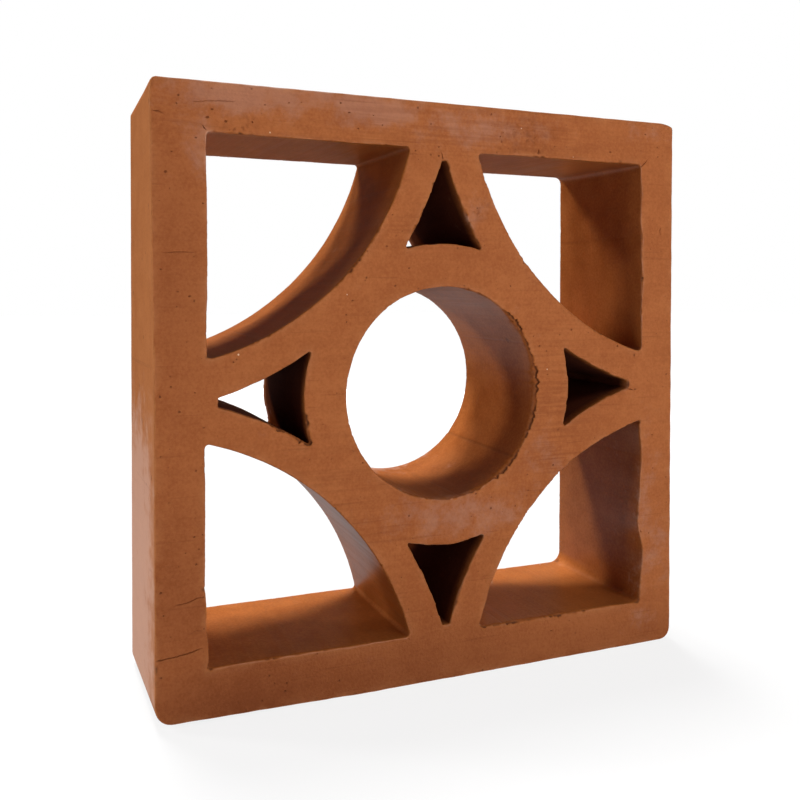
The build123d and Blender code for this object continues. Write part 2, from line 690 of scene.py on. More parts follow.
def add_row(row, to_rim, wear, score, kind):
    """Adds one loop of vertices with its marks."""
    tear, bite, groove = wear
    # Painted shade: crevices on torn rims, bites and the groove behind them are darkened.
    open_crumbs = jagged(row, 1.1, 31) > 0.7
    crevice_shade = np.where(open_crumbs, np.clip(tear - 0.3, 0.0, 0.6), 0.0)
    bite_shade = np.clip(bite_shade_strength * bite, 0.0, 0.9)
    rim_shade = np.maximum(bite_shade, crevice_shade) * np.exp(-to_rim / crevice_shade_reach)
    groove_shade = np.clip(groove_shade_strength * groove, 0.0, 0.95) * bell(to_rim - groove_place, groove_reach)
    vertices.extend(row)
    marks["rim"].extend(np.exp(-to_rim / rim_reach))
    marks["torn"].extend(np.clip(tear, 0.0, 1.0) * np.exp(-to_rim / torn_reach))
    marks["pit"].extend(np.maximum(np.maximum(rim_shade, groove_shade), score_dark * score))
    marks["lime"].extend([0.0] * len(row))
    marks["inside"].extend([float(kind != "outline")] * len(row))
    # Painted shade that deepens into the small openings.
    marks["painted_narrow_shade"].extend(float(kind == "small") * ramp(to_rim, narrow_shade_reach))


for name, (near_loop, far_loop) in loops.items():
    kind = name[0]
    inward = into_the_clay(name, near_loop)
    far_inward = into_the_clay(name, far_loop)
    near, near_wear = wall_rows(name, near_loop, far_loop, inward, 0)
    far, far_wear = wall_rows(name, far_loop, near_loop, far_inward, 1)
    score = score_line(name, near_loop)
    halfway = (near_loop + far_loop) / 2 + inward * score[:, None]
    count = len(near_loop)
    start = len(vertices)
    for row in near + [lifted(halfway, thickness / 2)]:
        add_row(row, row[:, 1], near_wear, score, kind)
    for row in reversed(far):
        flipped = row * (1.0, -1.0, 1.0) + (0.0, thickness, 0.0)
        add_row(flipped, row[:, 1], far_wear, score, kind)
    rims[0][name] = np.arange(start, start + count)
    rims[1][name] = np.arange(len(vertices) - count, len(vertices))
    for row in range(len(near) + len(far)):
        for i in range(count):
            a = start + row * count + i
            b = start + row * count + (i + 1) % count
            quad = (a, a + count, b + count, b)
            quads.append(quad if kind == "outline" else quad[::-1])
print("walls have", len(vertices), "vertices and", len(quads), "quads")

# %% [markdown]
# ## Pits, cracks and pale grains
#
# Bubbles and grains leave pits in the cut faces. Drying opens hair cracks, mostly at the tips
# of the small openings and across the legs, and the wire drags grains into short scratches.
# The ones that show most are listed one by one, in millimetres across and up from the middle of
# the bed. A pit has a half width and a half height, a line has its corners, its depth and
# half its width, a pale grain has a radius, and a coarse patch has a half width and height.

# %% Blemishes of the near face
placed_pits = [
    (-95.3, 171.2, 0.57, 0.57),
    (-83.8, 162.0, 0.38, 0.34),
    (-76.6, 187.9, 0.61, 0.49),
    (-68.0, 188.3, 0.38, 0.38),
    (-80.9, 191.3, 0.53, 0.30),
    (-63.8, 194.0, 0.30, 0.27),
    (-31.8, 188.9, 0.42, 0.30),
    (-38.0, 196.8, 0.38, 0.38),
    (-26.3, 193.6, 0.30, 0.27),
    (-35.0, 193.9, 0.61, 0.30),
    (-10.7, 182.9, 0.38, 0.38),
    (-28.5, 148.5, 0.46, 0.46),
    (23.4, 188.2, 0.27, 0.61),
    (22.8, 190.0, 0.30, 0.30),
    (38.9, 185.5, 0.34, 1.14),
    (-74.2, 112.6, 0.42, 0.38),
    (-56.7, 8.0, 0.49, 0.46),
    (-93.5, 177.4, 0.38, 0.30),
    (-60.8, 8.6, 0.34, 0.30),
    (43.0, 104.9, 0.34, 0.34),
    (37.5, 57.0, 0.38, 0.34),
]
placed_lines = [
    (((-0.7, 183.2), (-0.1, 180.3)), 0.5, 0.16),
    (((78.6, 98.6), (79.9, 98.1), (82.2, 97.6)), 0.5, 0.2),
    (((83.7, 181.6), (85.5, 183.2), (87.4, 184.9)), 0.4, 0.22),
    (((-84.0, 186.3), (-82.7, 184.6)), 0.45, 0.2),
    (((-98.9, 21.6), (-92.7, 22.0), (-88.7, 22.5), (-84.9, 23.4)), 0.6, 0.2),
    (((-92.8, 38.0), (-88.7, 38.4), (-86.0, 39.4), (-83.8, 39.5)), 0.35, 0.18),
    (((-88.6, 28.4), (-86.0, 29.2), (-83.9, 29.0)), 0.2, 0.16),
    (((-95.4, 146.6), (-91.0, 146.9), (-86.2, 146.8)), 0.22, 0.16),
    (((-99.0, 189.6), (-96.8, 189.4)), 0.5, 0.3),
    (((-87.4, 193.1), (-80.0, 194.0), (-73.5, 194.3)), 0.22, 0.2),
    (((87.1, 15.9), (93.0, 15.4), (99.2, 14.4)), 0.14, 0.16),
    (((16.0, 49.8), (22.8, 49.8)), 0.16, 0.14),
    (((94.7, 156.9), (94.0, 158.4), (94.5, 159.9)), 0.35, 0.2),
    (((-61.5, 189.2), (-52.0, 189.6)), 0.12, 0.16),
    (((72.0, 96.6), (79.0, 96.2)), 0.1, 0.16),
]
placed_lime = [
    (-62.2, 185.4, 0.32),
    (-72.6, 114.9, 0.43),
    (42.8, 106.8, 0.32),
    (53.8, 184.6, 0.22),
    (-35.7, 133.9, 0.25),
    (31.5, 193.5, 0.29),
]
coarse_patches = [
    (33.0, 190.0, 13.0, 8.0),
    (15.2, 163.0, 4.2, 4.6),
    (-72.0, 186.5, 6.0, 4.0),
]
print(len(placed_pits), "pits and", len(placed_lines), "lines are placed by hand")

# %% [markdown]
# ## Points that carry the blemishes
#
# A pit is a ring at the surface, a ring inside it and a deep middle. A crack is a deep row
# between two lips. A pale grain is level with the face, in a shallow dip. Every point carries
# its depth and two marks, for the dark of a pit and the pale of lime.

# %% Blemish points
pit_random = random.Random(41)
pit_depth = 0.5
ring_points = 8
inner_ring = 0.6
crack_step = 0.45
crack_wander = 0.12
crack_fade = 1.5
crack_end = 0.35
crack_dark = 1.8
coarse_density = 3.5
coarse_depth = 0.5
coarse_dark = 1.6
pit_margin = 2.0
smallest_pit = 0.2
pit_spread = 0.42
lip = (0.0, 0.0, 0.0)


def ring(x, z, wide, high):
    """Points on a crumpled ellipse."""
    made = []
    for step in range(ring_points):
        angle = 2.0 * math.pi * step / ring_points
        crumple = pit_random.uniform(0.72, 1.15)
        made.append((x + crumple * wide * math.cos(angle), z + crumple * high * math.sin(angle)))
    return made


def spot_points(x, z, wide, high, middle, inner, outer):
    """Rows of (x, z, depth, pit, lime) for a middle, a ring inside and a ring at the edge."""
    made = [(x, z, *middle)]
    made += [(*place, *inner) for place in ring(x, z, inner_ring * wide, inner_ring * high)]
    made += [(*place, *outer) for place in ring(x, z, wide, high)]
    return made


def pit_points(x, z, wide, high, depth):
    """The rows of one pit."""
    return spot_points(x, z, wide, high, (depth, 0.85, 0.0), (0.8 * depth, 0.75, 0.0), lip)


def lime_points(x, z, radius):
    """The rows of one pale grain."""
    return spot_points(x, z, radius, radius, (0.0, 0.0, 1.0), (0.0, 0.0, 1.0), (0.1, 0.0, 0.0))


def crack_points(corners, depth, half_width):
    """The rows of a broken line that fades out at both ends."""
    made = []
    total = sum(math.dist(start, end) for start, end in zip(corners, corners[1:]))
    travelled = 0.0
    for start, end in zip(corners, corners[1:]):
        start = np.array(start)
        end = np.array(end)
        length = np.linalg.norm(end - start)
        ahead = (end - start) / length
        across = np.array((-ahead[1], ahead[0]))
        for place in np.arange(0.0, length, crack_step):
            to_end = min(travelled + place, total - travelled - place)
            fade = min(1.0, crack_end + to_end / crack_fade)
            aside = pit_random.uniform(-crack_wander, crack_wander)
            middle = start + ahead * place + across * aside
            reach = across * half_width * fade
            made.append((*middle, depth * fade, min(1.0, crack_dark * depth) * fade, 0.0))
            made += [(*(middle + reach), *lip), (*(middle - reach), *lip)]
        travelled += length
    return made


def coarse_points(x, z, wide, high):
    """The rows of a patch where the wire plucked the clay."""
    made = []
    for _ in range(int(coarse_density * wide * high)):
        away = math.sqrt(pit_random.random())
        angle = pit_random.uniform(0.0, 2.0 * math.pi)
        deep = coarse_depth * pit_random.random() ** 3 * (1.0 - 0.6 * away)
        across = x + wide * away * math.cos(angle)
        up = z + high * away * math.sin(angle)
        made.append((across, up, deep, min(1.0, coarse_dark * deep), 0.0))
    return made


def scattered_pits(count):
    """Small pits at random places, a little longer along the wire's travel."""
    made = []
    for _ in range(count):
        x = pit_random.uniform(pit_margin - face_width / 2, face_width / 2 - pit_margin)
        z = pit_random.uniform(pit_margin, face_height - pit_margin)
        size = smallest_pit + pit_spread * pit_random.random() ** 3
        made.append((x, z, size * pit_random.uniform(1.0, 1.5), size, 0.9 * size))
    return made


def all_rows(*kinds):
    """The rows of several kinds of blemish, each given as its function and its sizes."""
    return [row for made_by, sizes in kinds for size in sizes for row in made_by(*size)]


near_blemishes = all_rows((pit_points, [(*pit, pit_depth) for pit in placed_pits]))
near_blemishes += all_rows(
    (pit_points, scattered_pits(85)),
    (crack_points, placed_lines),
    (lime_points, placed_lime),
    (coarse_points, coarse_patches),
)
print("the near face has", len(near_blemishes), "blemish points")

# %% [markdown]
# ## The far face
#
# The far face was cut by the same wires, so it gets the same kinds of blemishes at places of
# its own: scattered pits, a crack at a tip, two across the outer walls, one long drag line, two
# pale grains and one plucked patch. The same functions make them.

# %% Blemishes of the far face
far_lines = [
    (((60.0, 7.0), (61.5, 12.0), (60.8, 15.6)), 0.5, 0.18),
    (((-79.8, 100.6), (-84.0, 101.8), (-87.5, 101.2)), 0.45, 0.18),
    (((20.0, 193.5), (46.0, 193.0)), 0.2, 0.18),
    (((88.0, 128.0), (99.0, 129.5)), 0.4, 0.18),
]
far_blemishes = all_rows(
    (pit_points, scattered_pits(170)),
    (crack_points, far_lines),
    (lime_points, [(70.0, 12.0, 0.5), (-41.0, 126.0, 0.4)]),
    (coarse_points, [(-60.0, 189.0, 12.0, 6.0)]),
)
print("the far face has", len(far_blemishes), "blemish points")

# %% [markdown]
# ## The cut faces
#
# A cut face is the skin between the rims. A triangulation that must keep the rims' edges joins
# them to a loose grid, to a close ring beside each rim, which keeps the torn edge from
# spoiling the shading further in, and to the blemish points.

# %% Face points
grid_step = 2.3
row_share = 0.87
jitter = 0.3
ring_inset = 0.55


def face_grid(back):
    """A staggered, slightly jittered grid over the whole face."""
    spread = random.Random(7 + back)
    points = []
    rows = int(face_height / (grid_step * row_share))
    for row in range(rows):
        z = (row + 0.5) * face_height / rows
        offset = grid_step / 2 if row % 2 else 0.0
        for column in range(int(face_width / grid_step)):
            x = -face_width / 2 + offset + (column + 0.25) * grid_step
            points.append([value + spread.uniform(-jitter, jitter) for value in (x, z)])
    return np.array(points)


def on_face(rim):
    """The face points (x, z) of a rim's vertices."""
    return np.array([vertices[i] for i in rim])[:, (0, 2)]


def beside_rims(back):
    """Points a little way into the clay from every rim point."""
    made = []
    for name, rim in rims[back].items():
        loop = on_face(rim)
        made.append(loop + ring_inset * into_the_clay(name, loop))
    return np.concatenate(made)


def nearest(points):
    """A search tree over face points (x, z)."""
    tree = kdtree.KDTree(len(points))
    for i, point in enumerate(points):
        tree.insert((point[0], point[1], 0.0), i)
    tree.balance()
    return tree


def in_clay(points, back):
    """Whether each point lies in the clay: a line from it to the right crosses rims oddly."""
    odd = np.zeros(len(points), bool)
    for rim in rims[back].values():
        loop = on_face(rim)
        for (x1, z1), (x2, z2) in zip(loop, np.roll(loop, -1, axis=0)):
            if z1 == z2:
                continue
            spans = (points[:, 1] > z1) != (points[:, 1] > z2)
            crossing_x = x1 + (points[:, 1] - z1) * (x2 - x1) / (z2 - z1)
            odd ^= spans & (points[:, 0] < crossing_x)
    return odd


print("a face grid has", len(face_grid(0)), "points before the openings are taken out")

# %% [markdown]
# ## Choosing the face's points
#
# Points that would crowd a rim or a blemish are dropped, because needle-thin triangles shade
# badly. What stays is one list with depth and marks.

# %% Choose points
rim_clearance = 0.32
clear_share = 0.7
blemish_clearance = 0.75
ring_clearance = 0.3


def face_points(blemishes, back):
    """Rows of (x, z, depth, pit, lime) for the inside of one cut face, and its rims' tree."""
    rim_tree = nearest(on_face(np.concatenate(list(rims[back].values()))))
    blemishes = np.array(blemishes)
    blemishes = blemishes[in_clay(blemishes[:, :2], back)]
    kept = [tuple(row) for row in blemishes if rim_tree.find((*row[:2], 0.0))[2] > rim_clearance]
    blemish_tree = nearest(kept)

    def clear(points, from_rim, from_blemish):
        """The points in the clay that keep clear of the rims and the blemishes, as rows."""
        made = []
        for x, z in points[in_clay(points, back)]:
            off_rim = rim_tree.find((x, z, 0.0))[2] > from_rim
            if off_rim and blemish_tree.find((x, z, 0.0))[2] > from_blemish:
                made.append((x, z, 0.0, 0.0, 0.0))
        return made

    grid = clear(face_grid(back), clear_share * grid_step, blemish_clearance)
    beside = clear(beside_rims(back), clear_share * ring_inset, ring_clearance)
    return np.array(kept + grid + beside), rim_tree


print("rims keep", rim_clearance, "mm clear of blemish points")

# %% [markdown]
# ## Building a cut face
#
# The face is a little wavy, because a wire under tension bows and springs. The triangulation
# fills the openings as well, so each triangle is kept only if its middle is in the clay. The
# triangles of the near face turn one way and those of the far face the other, so that all of
# them face outwards.

# %% Build both cut faces
triangles = []
mean_relief = 0.12
relief_waves = ((0.10, 28.0, 21), (0.05, 9.0, 22), (0.02, 3.5, 23))
relief_fade = 3.0


def face_relief(points, back):
    """How far the wire strayed into the clay at each face point, in millimetres."""
    place = lifted(points, 1.5 * far_face_shift * back)
    return np.clip(mean_relief + wander(place, *relief_waves), 0.0, None)


def build_face(blemishes, back):
    """Adds one cut face's points and triangles, joined to the rims."""
    rows, rim_tree = face_points(blemishes, back)
    relief = face_relief(rows[:, :2], back)
    edges = []
    for rim in rims[back].values():
        first = len(edges)
        edges.extend((first + i, first + (i + 1) % len(rim)) for i in range(len(rim)))
    rim_index = np.concatenate(list(rims[back].values()))
    cloud = [Vector(p) for p in np.vstack((on_face(rim_index), rows[:, :2]))]
    points, _, faces, origins, _, _ = delaunay_2d_cdt(cloud, edges, [], 2, 1e-6, True)
    index = []
    crossings = 0
    for point, origin in zip(points, origins):
        if origin and origin[0] < len(rim_index):
            index.append(int(rim_index[origin[0]]))
            continue
        crossings += not origin
        own = origin[0] - len(rim_index) if origin else 0
        _, _, sunk, pit, lime = rows[own] if origin else (0.0, 0.0, 0.0, 0.0, 0.0)
        to_rim = rim_tree.find((point[0], point[1], 0.0))[2]
        depth = sunk + relief[own] * min(1.0, to_rim / relief_fade)
        index.append(len(vertices))
        vertices.append(np.array((point[0], thickness - depth if back else depth, point[1])))
        own_marks = {"rim": math.exp(-to_rim / rim_reach), "pit": pit, "lime": lime}
        for mark_name, values in marks.items():
            values.append(own_marks.get(mark_name, 0.0))
    middles = np.array([(points[a] + points[b] + points[c]) / 3 for a, b, c in faces])
    for (a, b, c), clay_here in zip(faces, in_clay(middles, back)):
        if clay_here:
            turn = (points[b] - points[a]).cross(points[c] - points[a])
            order = (a, b, c) if (turn > 0) != bool(back) else (a, c, b)
            triangles.append(tuple(index[i] for i in order))
    print("a cut face has", len(rows), "points of its own and", crossings, "crossings")


build_face(near_blemishes, 0)
build_face(far_blemishes, 1)

# %% [markdown]
# ## Bloom, painted sheen, painted shade and dragged areas
#
# Three marks change over whole areas. Bloom is the pale, dusty salt that drying leaves, mostly
# near upper edges; one far patch, at the back of the hole's floor, is a painted sheen. Painted
# shade darkens the faces towards the bed and the ends. A dragged area is one where the wire
# pulled grains along and scored the clay. Each is a set of soft oval patches on the near face
# and another on the far one, given by place, half width, half height and strength. It fades
# with depth behind the cut face. A picture could hold them too, but marks on the mesh need no
# unwrapping.

# %% Area marks
area_marks = {
    "bloom_and_sheen": (
        [
            (-66.0, 197.0, 34.0, 6.0, 0.85),
            (-26.0, 195.5, 20.0, 6.0, 0.9),
            (-84.0, 181.0, 7.0, 13.0, 0.5),
            (14.0, 193.0, 34.0, 8.0, 0.6),
            (88.0, 197.0, 16.0, 5.0, 0.35),
            (14.0, 163.0, 8.0, 7.0, 0.45),
            (88.0, 38.0, 13.0, 42.0, 0.4),
            (8.0, 57.0, 34.0, 9.0, 0.6),
            (44.0, 72.0, 12.0, 16.0, 0.35),
        ],
        [
            (60.0, 195.0, 26.0, 6.0, 0.7),
            (-90.0, 150.0, 8.0, 30.0, 0.4),
            (20.0, 10.0, 40.0, 8.0, 0.35),
            # Painted sheen at the back of the hole's floor.
            (-12.0, 66.0, 30.0, 10.0, 0.75),
        ],
    ),
    # Painted shade: darker towards the bed and the ends.
    "painted_shade": (
        [
            (-70.0, 2.0, 60.0, 22.0, 0.7),
            (-10.0, 2.0, 70.0, 20.0, 0.55),
            (60.0, 0.0, 60.0, 16.0, 0.4),
            (-95.0, 40.0, 22.0, 40.0, 0.45),
            (-95.0, 140.0, 16.0, 60.0, 0.35),
        ],
        [
            (0.0, 0.0, 130.0, 18.0, 0.8),
            (95.0, 60.0, 20.0, 50.0, 0.4),
        ],
    ),
    "dragged": (
        [
            (47.0, 92.0, 16.0, 34.0, 1.0),
            (10.0, 191.0, 60.0, 9.0, 0.8),
            (-40.0, 66.0, 18.0, 22.0, 0.6),
            (0.0, 155.0, 26.0, 8.0, 0.7),
        ],
        [(-20.0, 100.0, 60.0, 70.0, 0.7)],
    ),
}
mark_fade = 8.0


def patch_value(points, patches, face_depth):
    """The strongest of several soft patches at each point (x, depth, z)."""
    value = np.zeros(len(points))
    for x, z, wide, high, strength in patches:
        away = ((points[:, 0] - x) / wide) ** 2 + ((points[:, 2] - z) / high) ** 2
        value = np.maximum(value, strength * np.exp(-away))
    return value * np.exp(-np.abs(points[:, 1] - face_depth) / mark_fade)


places = np.array(vertices)
for mark_name, (near, far) in area_marks.items():
    marks[mark_name] = patch_value(places, near, 0.0) + patch_value(places, far, thickness)
print("bloom reaches", round(float(marks["bloom_and_sheen"].max()), 2), "of full strength")

# %% [markdown]
# ## Painted reflection on the left side
#
# The lower half of the left end is painted paler and pinkish, as a painted reflection of the
# bright floor. It is full near the bed and fades out halfway up. It joins the bloom mark, so that
# the finish of the walls shows it without a material of its own.

# %% Painted side reflection
side_sheen_top = 112.0
side_sheen_full = 72.0
side_sheen_strength = 0.84
side_sheen_depth = 1.2
on_left = ramp(-face_width / 2 + side_sheen_depth - places[:, 0], side_sheen_depth / 2)
side_sheen = on_left * ramp(side_sheen_top - places[:, 2], side_sheen_top - side_sheen_full)
# Painted reflection of the floor, laid into the bloom mark.
marks["bloom_and_sheen"] = np.maximum(marks["bloom_and_sheen"], side_sheen_strength * side_sheen)
print("salt covers", int((side_sheen > 0.5).sum()), "vertices of the left end")

# %% [markdown]
# ## The mesh
#
# The vertices so far are in millimetres, with depth counted from the near cut face. They
# become metres in the block's own frame, inside the solid model's box. Faces that the wire cut
# take the first material and walls the second, and edges that turn sharply stay sharp, which
# is what makes torn clay look torn.

# %% Mesh
sharp_angle = 38.0
places[:, 1] -= thickness / 2
places = np.clip(places * mm, np.array(block_low), np.array(block_high))

mesh = bpy.data.meshes.new("breeze_block_clay")
mesh.from_pydata(places.tolist(), [], quads + triangles)
mesh.polygons.foreach_set("material_index", [1] * len(quads) + [0] * len(triangles))
for mark_name, values in marks.items():
    attribute = mesh.attributes.new(mark_name, "FLOAT", "POINT")
    attribute.data.foreach_set("value", np.array(values, dtype=np.float32))
mesh.shade_smooth()
mesh.set_sharp_from_angle(angle=math.radians(sharp_angle))
mesh.validate()
clay = bpy.data.objects.new("breeze_block_clay", mesh)
scene.collection.objects.link(clay)
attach(clay, "root")
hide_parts("breeze_block")
print("the clay has", sum(len(p.vertices) - 2 for p in mesh.polygons), "triangles")

# %% [markdown]
# ## Small helpers for node trees
#
# A finish is a tree of nodes. A small class keeps the trees readable: it adds a node, feeds a
# socket from an output or a plain value, and names the few nodes that clay needs. A node group
# is a little tree with named sockets that several finishes share.

# %% Node helpers


class Nodes:
    """A node tree with short ways to add to it. A source is an output or a plain value."""

    def __init__(self, tree):
        self.tree = tree

    def feed(self, socket, source):
        """Joins an output to a socket, or sets the socket to a plain value."""
        if isinstance(source, bpy.types.NodeSocket):
            self.tree.links.new(source, socket)
        else:
            socket.default_value = source

    def add(self, kind, sources=(), **settings):
        """A new node of a kind, with its plain settings and its sockets fed."""
        made = self.tree.nodes.new("ShaderNode" + kind)
        for setting, value in settings.items():
            setattr(made, setting, value)
        for socket, source in dict(sources).items():
            self.feed(made.inputs[socket], source)
        return made

    def place(self):
        """The object's own coordinates, so that nothing slides when the view moves."""
        return self.add("TexCoord").outputs["Object"]

    def mark(self, name):
        """A mark that the mesh carries at its vertices."""
        return self.add("Attribute", attribute_name=name).outputs["Fac"]

    def noise(self, place, scale, detail, roughness=0.55):
        """Noise from 0 to 1 whose clouds are about one metre divided by scale across."""
        sources = {"Vector": place, "Scale": scale, "Detail": detail, "Roughness": roughness}
        return self.add("TexNoise", sources).outputs["Fac"]

    def step(self, value, low, high, to_low=0.0, to_high=1.0):
        """A value that eases from to_low to to_high while the input goes from low to high."""
        names = ("Value", "From Min", "From Max", "To Min", "To Max")
        sources = zip(names, (value, low, high, to_low, to_high))
        return self.add("MapRange", sources, interpolation_type="SMOOTHSTEP").outputs["Result"]

    def math(self, operation, first, second):
        """The result of a Math node."""
        return self.add("Math", {0: first, 1: second}, operation=operation).outputs[0]

    def times(self, first, second):
        """The product of two sources."""
        return self.math("MULTIPLY", first, second)

    def plus(self, first, second):
        """The sum of two sources."""
        return self.math("ADD", first, second)

    def mix(self, share, under, over, blend_type="MIX"):
        """Colour under, with share of colour over laid on it."""
        made = self.add("Mix", {"Factor": share}, data_type="RGBA", blend_type=blend_type)
        colour_a, colour_b = [s for s in made.inputs if s.type == "RGBA"]
        self.feed(colour_a, under)
        self.feed(colour_b, over)
        return next(s for s in made.outputs if s.type == "RGBA")

    def lay(self, mask, strength, under, over):
        """Colour over laid on colour under, as far as a mask and a strength allow."""
        return self.mix(self.times(mask, strength), under, over)

    def bump(self, height, distance):
        """The normal that a height gives, with its distance in metres."""
        return self.add("Bump", {"Distance": distance, "Height": height}).outputs["Normal"]

    def group(self, tree, **values):
        """A group placed in this tree. An underscore in a value's name stands for a space."""
        sources = {name.replace("_", " "): source for name, source in values.items()}
        return self.add("Group", sources, node_tree=tree).outputs


def start_group(name, inputs, outputs):
    """A node group with named sockets. Inputs give a value, outputs give a socket type."""
    tree = bpy.data.node_groups.new(name, "ShaderNodeTree")
    kinds = {float: "NodeSocketFloat", tuple: "NodeSocketColor", Vector: "NodeSocketVector"}
    for label, value in inputs.items():
        kind = kinds[type(value)]
        socket = tree.interface.new_socket(label, in_out="INPUT", socket_type=kind)
        socket.default_value = value
    for label, kind in outputs.items():
        tree.interface.new_socket(label, in_out="OUTPUT", socket_type="NodeSocket" + kind)
    start = tree.nodes.new("NodeGroupInput")
    end = tree.nodes.new("NodeGroupOutput")
    return Nodes(tree), start.outputs, end.inputs


print("node helpers are ready")

# %% [markdown]
# ## The body of the clay
#
# Fired clay is never one colour. Wide clouds come from the fire, finger-sized ones from uneven
# mixing, and fine ones from the grain. The group adds three noises and uses the sum to go
# from a deep clay to a pale one.

# %% Clay body group
nodes, start, end = start_group(
    "clay_body",
    {"Pale Clay": (0.4, 0.13, 0.05, 1), "Deep Clay": (0.3, 0.08, 0.03, 1), "Contrast": 1.0},
    {"Color": "Color", "Clouds": "Float"},
)
body_group = nodes.tree
place = nodes.place()
clouds = nodes.times(nodes.noise(place, 20.0, 3.0), 0.3)
for scale, detail, share in ((120.0, 4.0, 0.3), (1100.0, 3.0, 0.4)):
    clouds = nodes.plus(clouds, nodes.times(nodes.noise(place, scale, detail), share))
stretched = nodes.times(nodes.math("SUBTRACT", clouds, 0.5), start["Contrast"])
clouds = nodes.step(stretched, -0.16, 0.16)
nodes.feed(end["Color"], nodes.mix(clouds, start["Deep Clay"], start["Pale Clay"]))
nodes.feed(end["Clouds"], clouds)
print("clay_body has", len(body_group.nodes), "nodes")

# %% [markdown]
# ## Grit
#
# Close up, the surface is sandy: fine bumps, pin holes where grains fell out, and a few pale
# grains. Cells make the holes: only the middle of a cell counts, and only some cells by their
# random colour, so the holes are sparse. A second random value sets each hole's size, and
# the sandy noise makes its edge ragged.

# %% Grit group
nodes, start, end = start_group(
    "grit",
    {"Cells Per Metre": 260.0, "Share Of Cells": 0.35},
    {"Height": "Float", "Pin Holes": "Float", "Pale Grains": "Float"},
)
grit_group = nodes.tree
place = nodes.place()
sandy = nodes.noise(place, 1300.0, 3.0, 0.65)
cells = nodes.add("TexVoronoi", {"Vector": place, "Scale": start["Cells Per Metre"]}).outputs
cell_colour = nodes.add("SeparateColor", {"Color": cells["Color"]}).outputs
shrink = nodes.step(cell_colour["Blue"], 0.0, 1.0, 0.85, 2.4)
ragged = nodes.step(sandy, 0.2, 0.8, -0.07, 0.07)
from_middle = nodes.plus(nodes.times(cells["Distance"], shrink), ragged)
near_middle = nodes.step(from_middle, 0.05, 0.16, 1.0, 0.0)
is_hole = nodes.math("LESS_THAN", cell_colour["Red"], start["Share Of Cells"])
holes = nodes.times(near_middle, is_hole)
is_grain = nodes.math("GREATER_THAN", cell_colour["Green"], 0.94)
nodes.feed(end["Height"], nodes.plus(sandy, nodes.times(holes, -1.2)))
nodes.feed(end["Pin Holes"], holes)
nodes.feed(end["Pale Grains"], nodes.times(near_middle, is_grain))
print("grit has", len(grit_group.nodes), "nodes")

# %% [markdown]
# ## Drag lines
#
# The wire drew fine level lines across the cut faces, and the die drew lines along the depth
# of every wall. Both are one noise, stretched by a different vector: a small number keeps the
# noise long in that direction, and a large one makes it fine. A few lines stand out more.

# %% Drag lines group
nodes, start, end = start_group(
    "drag_lines",
    {"Stretch": Vector((10.0, 10.0, 700.0))},
    {"Height": "Float", "Lines": "Float"},
)
lines_group = nodes.tree
sources = {0: nodes.place(), 1: start["Stretch"]}
drawn_out = nodes.add("VectorMath", sources, operation="MULTIPLY").outputs[0]
fine_lines = nodes.noise(drawn_out, 1.0, 3.0, 0.6)
bold = nodes.step(nodes.noise(drawn_out, 0.8, 1.0), 0.66, 0.76)
nodes.feed(end["Height"], nodes.plus(fine_lines, nodes.times(bold, -0.5)))
nodes.feed(end["Lines"], bold)
print("drag_lines has", len(lines_group.nodes), "nodes")

# %% [markdown]
# ## Salt bloom and painted sheen
#
# Bloom is thin, so the clay shows through it, and it is patchy and wiped off in places. The
# group takes the mesh's bloom mark, breaks its edge up with noise, and lays a pale colour over
# the clay. The mark also carries the painted reflection on the left end and a painted sheen at
# the back of the hole's floor, so these are laid in the same way.

# %% Bloom and sheen group
nodes, start, end = start_group(
    "salt_bloom_and_sheen",
    {"Clay": (0.4, 0.13, 0.05, 1), "Salt": (0.6, 0.4, 0.3, 1), "Cover": 0.5},
    {"Color": "Color"},
)
bloom_group = nodes.tree
patchy = nodes.noise(nodes.place(), 130.0, 6.0, 0.7)
edge = nodes.math("SUBTRACT", 1.05, nodes.mark("bloom_and_sheen"))
spread = nodes.math("SUBTRACT", patchy, nodes.times(edge, 0.62))
covered = nodes.step(spread, -0.04, 0.3)
nodes.feed(end["Color"], nodes.lay(covered, start["Cover"], start["Clay"], start["Salt"]))
print("salt_bloom_and_sheen has", len(bloom_group.nodes), "nodes")

# %% [markdown]
# ## Torn and worn clay
#
# Where the skin is broken the raw clay shows: torn rims are rougher and more orange, rims that
# were rubbed are a little paler, pits are dark and lime grains are nearly white. The pit mark
# also paints shade into crevices, bites and the groove behind torn rims. All of them follow
# marks that the mesh carries.

# %% Wear group
nodes, start, end = start_group(
    "torn_and_worn",
    {
        "Clay": (0.4, 0.13, 0.05, 1),
        "Raw Clay": (0.45, 0.16, 0.05, 1),
        "Rubbed Clay": (0.5, 0.2, 0.1, 1),
        "Pit": (0.05, 0.015, 0.01, 1),
        "Lime": (0.8, 0.65, 0.5, 1),
        "Rubbed Share": 0.3,
    },
    {"Color": "Color", "Torn": "Float"},
)
wear_group = nodes.tree
place = nodes.place()
crumbly = nodes.noise(place, 700.0, 4.0, 0.7)
rubbed_patches = nodes.step(nodes.noise(place, 110.0, 3.0), 0.42, 0.62)
rubbed = nodes.times(nodes.math("POWER", nodes.mark("rim"), 1.6), rubbed_patches)
torn = nodes.step(nodes.mark("torn"), 0.12, 0.6)
torn_crumbs = nodes.step(crumbly, 0.36, 0.5, 0.25, 1.0)
colour = nodes.lay(rubbed, start["Rubbed Share"], start["Clay"], start["Rubbed Clay"])
colour = nodes.lay(torn, torn_crumbs, colour, start["Raw Clay"])
# The pit mark darkens pits and also lays painted shade in crevices, bites and grooves.
colour = nodes.mix(nodes.mark("pit"), colour, start["Pit"])
colour = nodes.mix(nodes.mark("lime"), colour, start["Lime"])
nodes.feed(end["Color"], colour)
nodes.feed(end["Torn"], nodes.math("MAXIMUM", torn, nodes.mark("pit")))
print("torn_and_worn has", len(wear_group.nodes), "nodes")

